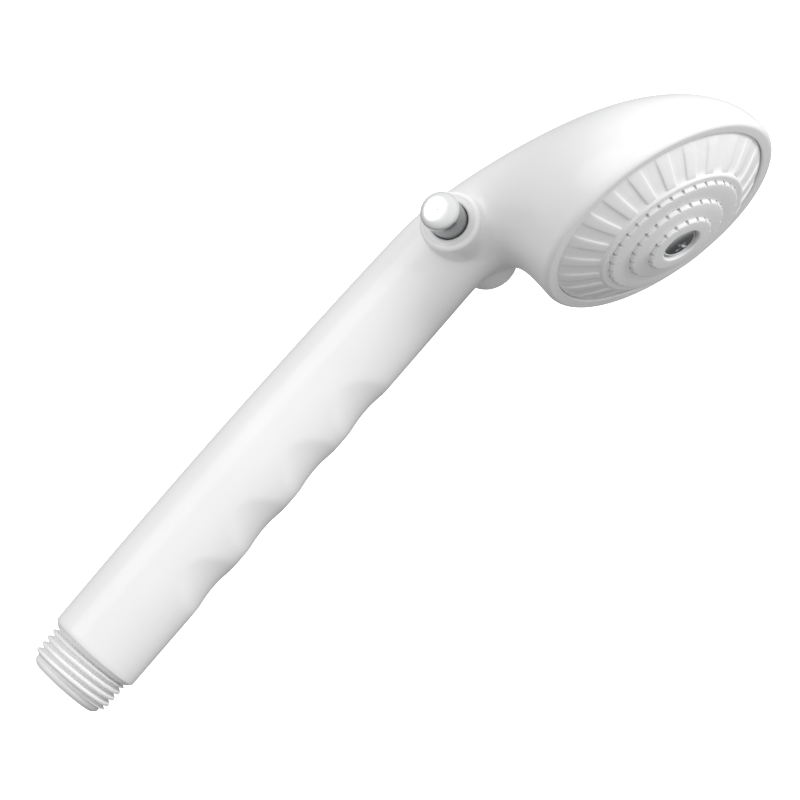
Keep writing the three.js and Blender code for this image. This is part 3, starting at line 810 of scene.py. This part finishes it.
def bush(name, place):
    """The ring the stem slides in, grooved inside for the rod seal and outside for its own ring."""
    rod_groove, seal_groove = (12.55, 13.85), (10.7, 11.9)
    inner, outer, back, face = 4.4, 5.99, 10.1, BOSS_HALF - 0.02
    profile = [(inner, back), (outer, back), (outer, seal_groove[0])]
    profile += [(5.1, seal_groove[0]), (5.1, seal_groove[1])]
    profile += [(outer, seal_groove[1]), (outer, face), (inner + 0.55, face)]
    profile += arc((inner + 0.55, face - 0.55), (-0.55, 0.55), 75, 0, 6)
    profile += [(inner, rod_groove[1]), (5.45, rod_groove[1]), (5.45, rod_groove[0]), (inner, rod_groove[0])]
    return turned(name, profile, 96, place)


# The stem's chrome is much darker than the buttons' chrome: painted shade standing in for the dark
# reflections along the stem, not the plating's own colour.
dark_painted_stem_chrome = polished_metal("dark_painted_stem_chrome", (0.36, 0.365, 0.37), 0.16, (12, 1, 1))
finish_piece(valve_spool(), "valve_spool", dark_painted_stem_chrome)
for side_name, frame_of_side, stem_end in (("near", TO_NEAR, -STEM_NEAR), ("far", TO_FAR, STEM_FAR)):
    seat_at = frame_of_side @ Matrix.Translation((0, 0, stem_end + 0.05))
    finish_piece(push_button(f"{side_name}_push_button", seat_at), f"{side_name}_button")
    finish_piece(bush(f"{side_name}_valve_bush", frame_of_side), f"{side_name}_bush")


# ---------------------------------------------------------------- spray face


def plate_profile():
    """[radius, height] round the plate's section, from the screw hole's tail out and back over the front."""
    tail = 0.4
    inner = PLATE_RADIUS - PLATE_WALL
    (r1, foot1, _, _), (r2, foot2, _, _), (r3, foot3, _, _) = STEPS
    profile = [(PLATE_HOLE, tail), (5.0, tail), (5.0, RECESS_FLOOR - PLATE_THICK)]
    profile += [(r3, foot3 - PLATE_THICK), (r2, foot2 - PLATE_THICK), (r1, foot1 - PLATE_THICK)]
    profile += [(FLUTE_INNER, FLUTE_TOP - PLATE_THICK), (inner, PLATE_EDGE - PLATE_THICK + 0.6)]
    profile += [(inner, PLATE_SKIRT), (PLATE_RADIUS, PLATE_SKIRT)]
    profile += [(PLATE_RADIUS, PLATE_EDGE - 0.15), (PLATE_RADIUS - 0.12, PLATE_EDGE)]
    rows = 7
    for k in range(rows + 1):
        t = k / rows
        crown = 0.25 * math.sin(math.pi * t)
        profile.append((lerp(FLUTE_OUTER, FLUTE_INNER, t), lerp(PLATE_EDGE + 0.15, FLUTE_TOP, t) + crown))
    profile += [(19.15, FLUTE_TOP + 0.35)] + arc((18.4, 4.2), (0.72, 0.7), 10, 90, 6)
    for radius, foot, top, _ in STEPS:
        profile += [(radius + 0.3, foot + 0.06), (radius + 0.1, foot)]
        profile += arc((radius - 0.6, top - 0.6), (0.6, 0.6), -22, 90, 8)
    top = STEPS[2][2] + 0.1
    profile += [(RECESS_RADIUS + 0.5, top)] + arc((RECESS_RADIUS + 0.4, top - 0.4), (-0.4, 0.4), 80, 0, 5)
    profile += [(RECESS_RADIUS, RECESS_FLOOR), (PLATE_HOLE + 0.1, RECESS_FLOOR)]
    profile.append((PLATE_HOLE, RECESS_FLOOR - 0.1))
    return profile


def spray_plate():
    """The white insert: raised lands between flutes, a smooth ring and three notched steps."""
    wall = ((0.0, 0.0), (0.02, 0.12), (0.045, 0.5), (0.07, 0.88), (0.09, 1.0))
    shares = list(wall) + [(0.2, 1.0), (0.36, 1.0)] + [(0.56 - share, rise) for share, rise in reversed(wall)]
    shares += [(0.7, 0.0), (0.85, 0.0)]
    surface = Surface()
    rings = []
    for radius, height in plate_profile():
        points = []
        for pitch in range(FLUTE_COUNT):
            for share, raised in shares:
                angle = TURN * (pitch + share) / FLUTE_COUNT
                on_slope = FLUTE_INNER - 0.01 < radius < FLUTE_OUTER + 0.01 and height > PLATE_EDGE + 0.1
                ramp = smooth((FLUTE_OUTER - radius) / 0.8) if on_slope else 0
                lift = FLUTE_LAND * raised * ramp
                point = Vector((radius * math.cos(angle), radius * math.sin(angle), height + lift))
                points.append(OUT_OF_FACE @ point)
        rings.append(surface.ring(points))
    surface.strips(rings + rings[:1])
    plate = surface.build("spray_plate", 42)
    places = []
    for radius, foot, _, notches in STEPS:
        for i in range(notches):
            turn = Matrix.Rotation(TURN * i / notches, 4, "Z")
            at = Matrix.Translation((radius - NOTCH_DEPTH / 2 + 0.22, 0, foot - 0.2))
            places.append((OUT_OF_FACE @ turn @ at, (NOTCH_DEPTH / 2, NOTCH_WIDTH / 2, 2.0), 1.0))
    return boolean(plate, boxes("notches", places), "DIFFERENCE", 42)


def centre_screw():
    """An oval-head screw with a tapered cross recess and a threaded-looking shank."""
    shaft, head, seat, top, tip = 2.35, 4.3, 7.3, 8.65, -10.0
    profile = [(0.02, tip), (shaft - 0.6, tip), (shaft, tip + 0.6)]
    pitch = 0.8
    turns = int((seat - 1.5 - (tip + 0.9)) / pitch)
    for i in range(turns):
        z = tip + 0.9 + i * pitch
        profile += [(shaft - 0.35, z + pitch * 0.1), (shaft, z + pitch * 0.5)]
        profile.append((shaft - 0.35, z + pitch * 0.9))
    profile += [(shaft, seat - 1.2), (shaft, seat), (head - 0.1, seat), (head, seat + 0.1)]
    profile += arc((head - 0.35, seat + 0.35), (0.35, 0.3), 0, 60, 4)
    profile += arc((0, seat + 0.3), (head - 0.1, top - seat - 0.3), 15, 89, 14)
    profile.append((0.02, top))
    screw = turned("cross_head_screw", profile, 72, OUT_OF_FACE, closed=False)
    blades = []
    for turn in (0, math.pi / 2):
        twist = Matrix.Rotation(turn + math.radians(18), 4, "Z")
        at = OUT_OF_FACE @ twist @ Matrix.Translation((0, 0, top - 0.4))
        blades.append((at, (2.3, 0.42, 1.1), 0.45))
    for blade in blades:
        screw = boolean(screw, boxes("blade", [blade]), "DIFFERENCE")
    return screw


def face_ring(name, inner, outer, low, high, soft=0.12):
    """A flat ring on the face's axis with chamfered edges."""
    profile = [(inner + soft, low), (outer - soft, low), (outer, low + soft), (outer, high - soft)]
    profile += [(outer - soft, high), (inner + soft, high), (inner, high - soft), (inner, low + soft)]
    return turned(name, profile, 128, OUT_OF_FACE, sharp=50)


def diffuser():
    """The disc behind the plate, with a ring of square ports."""
    plate = face_ring("diffuser_plate", PLATE_HOLE, 20.0, -1.2, 0.3)
    places = []
    for i in range(12):
        turn = Matrix.Rotation(TURN * i / 12, 4, "Z")
        places.append((OUT_OF_FACE @ turn @ Matrix.Translation((14, 0, 0)), (1.1, 1.1, 3.0), 1.0))
    return boolean(plate, boxes("ports", places), "DIFFERENCE")


finish_piece(spray_plate(), "spray_face")
finish_piece(centre_screw(), "centre_screw")
finish_piece(face_ring("plate_gasket", 25.6, PLATE_RADIUS, -4.7, -3.7, 0.2), "face_gasket")
finish_piece(face_ring("screw_head_washer", PLATE_HOLE, 4.3, 6.85, 7.25, 0.05), "screw_washer")
finish_piece(face_ring("brass_insert", 2.4, 3.4, -10.1, -1.6), "thread_insert")
finish_piece(diffuser(), "diffuser_disc")

# The flow regulator keeps its CAD shape, which nothing outside shows.
regulator = frame["nodes"]["flow_regulator"]
regulator.data.materials.clear()
regulator.data.materials.append(SLOTS[NODE_SLOT["flow_regulator"]])


# ---------------------------------------------------------------- camera, studio and light

CAMERA_AZIMUTH, CAMERA_ELEVATION, CAMERA_ROLL = -65.12, 0.4, 41.5
CAMERA_DISTANCE, CAMERA_LENS = 1.027, 202.6
AIM = (cad_low + cad_high) / 2 + Vector((0.0041, 0.0022, -0.00015))


def camera_axes(azimuth, elevation, roll):
    """Right, up and back of a camera that looks at the aim point from a direction, rolled clockwise."""
    a, e, r = (math.radians(x) for x in (azimuth, elevation, roll))
    back = Vector((math.sin(a) * math.cos(e), -math.cos(a) * math.cos(e), math.sin(e)))
    level = Vector((0, 0, 1)).cross(back).normalized()
    plumb = back.cross(level)
    right = level * math.cos(r) + plumb * math.sin(r)
    return right, back.cross(right), back


RIGHT, UP, BACK = camera_axes(CAMERA_AZIMUTH, CAMERA_ELEVATION, CAMERA_ROLL)


def add_camera():
    """A long lens, so the object keeps nearly parallel lines."""
    data = bpy.data.cameras.new("camera")
    data.lens = CAMERA_LENS
    data.sensor_width = 36.0
    data.clip_end = 20.0
    camera = bpy.data.objects.new("camera", data)
    bpy.context.scene.collection.objects.link(camera)
    turn = Matrix((RIGHT, UP, BACK)).transposed().to_4x4()
    camera.matrix_world = Matrix.Translation(AIM + BACK * CAMERA_DISTANCE) @ turn
    bpy.context.scene.camera = camera


def add_softbox(name, direction, distance, size, power, mirrored):
    """A round area light at a distance along a direction, facing the object; mirrored if metal shows it."""
    data = bpy.data.lights.new(name, "AREA")
    data.shape = "DISK"
    data.size = size
    data.energy = power
    lamp = bpy.data.objects.new(name, data)
    lamp.visible_glossy = mirrored
    bpy.context.scene.collection.objects.link(lamp)
    direction = direction.normalized()
    lamp.location = AIM + direction * distance
    lamp.rotation_mode = "QUATERNION"
    lamp.rotation_quaternion = direction.to_track_quat("Z", "Y")
    return lamp


def add_studio():
    """A pale round floor that sweeps up all round, lit flat so that no horizon shows."""
    surface = Surface()
    floor, radius, sweep = -450.0, 3600.0, 900.0
    profile = [(40.0, floor), (radius - sweep, floor)]
    profile += arc((radius - sweep, floor + sweep), (sweep, sweep), -84, 0, 14) + [(radius, 3200.0)]
    rings = lathe_rings(surface, profile, 96)
    surface.strips(rings)
    surface.cap(rings[0])
    stage = surface.build("pale_floor", 60)
    nodes = Nodes("pale_floor")
    nodes.set(Base_Color=(0.9, 0.9, 0.9, 1), Roughness=0.9)
    nodes.set(Emission_Color=(1, 1, 1, 1), Emission_Strength=1.0)
    stage.data.materials.append(nodes.material)
    stage.visible_diffuse = False
    stage.visible_glossy = False
    stage.visible_shadow = False


def add_world():
    """A white tent: bright above and in front of the object, with a darker gap behind its lower side."""
    scene = bpy.context.scene
    scene.view_settings.view_transform = "Standard"
    scene.world = bpy.data.worlds.new("studio")
    scene.world.use_nodes = True
    tree = scene.world.node_tree
    background = tree.nodes["Background"]
    background.inputs["Color"].default_value = (1, 1, 1, 1)
    direction = tree.nodes.new("ShaderNodeTexCoord").outputs["Generated"]
    strength = None
    for towards, low, high, to_low, to_high in TENT:
        dot = tree.nodes.new("ShaderNodeVectorMath")
        dot.operation = "DOT_PRODUCT"
        dot.inputs[1].default_value = towards.normalized()
        tree.links.new(direction, dot.inputs[0])
        ramp = tree.nodes.new("ShaderNodeMapRange")
        for key, number in zip(("From Min", "From Max", "To Min", "To Max"), (low, high, to_low, to_high)):
            ramp.inputs[key].default_value = number
        tree.links.new(dot.outputs["Value"], ramp.inputs["Value"])
        result = ramp.outputs["Result"]
        if strength:
            product = tree.nodes.new("ShaderNodeMath")
            product.operation = "MULTIPLY"
            tree.links.new(strength, product.inputs[0])
            tree.links.new(result, product.inputs[1])
            result = product.outputs[0]
        strength = result
    tree.links.new(strength, background.inputs["Strength"])


# Each row: a direction, the cosines from it between which the light changes, and its strength there.
TENT = (
    (UP * 0.85 + RIGHT * 0.1 + BACK * 0.5, -1.0, 1.0, 0.16, 1.0),
    (RIGHT * 0.5 - UP * 0.5 - BACK * 0.7, 0.72, 0.97, 1.0, 0.3),
)
add_camera()
add_studio()
add_world()
# Each row: a name, a direction, a size in metres, a power in watts, and whether metal shows the lamp.
SOFTBOX_DISTANCE = 1.2
SOFTBOXES = (
    ("upper_left", UP * 0.6 - RIGHT * 0.7 + BACK * 0.5, 0.9, 2.4, True),
    ("upper_right", RIGHT * 0.8 + UP * 0.48 + BACK * 0.5, 0.4, 6.5, False),
    ("lower_right", RIGHT * 0.62 - UP * 0.5 + BACK * 0.55, 0.9, 1.3, False),
)
for lamp_name, lamp_direction, lamp_size, lamp_power, lamp_mirrored in SOFTBOXES:
    add_softbox(lamp_name, lamp_direction, SOFTBOX_DISTANCE, lamp_size, lamp_power, lamp_mirrored)
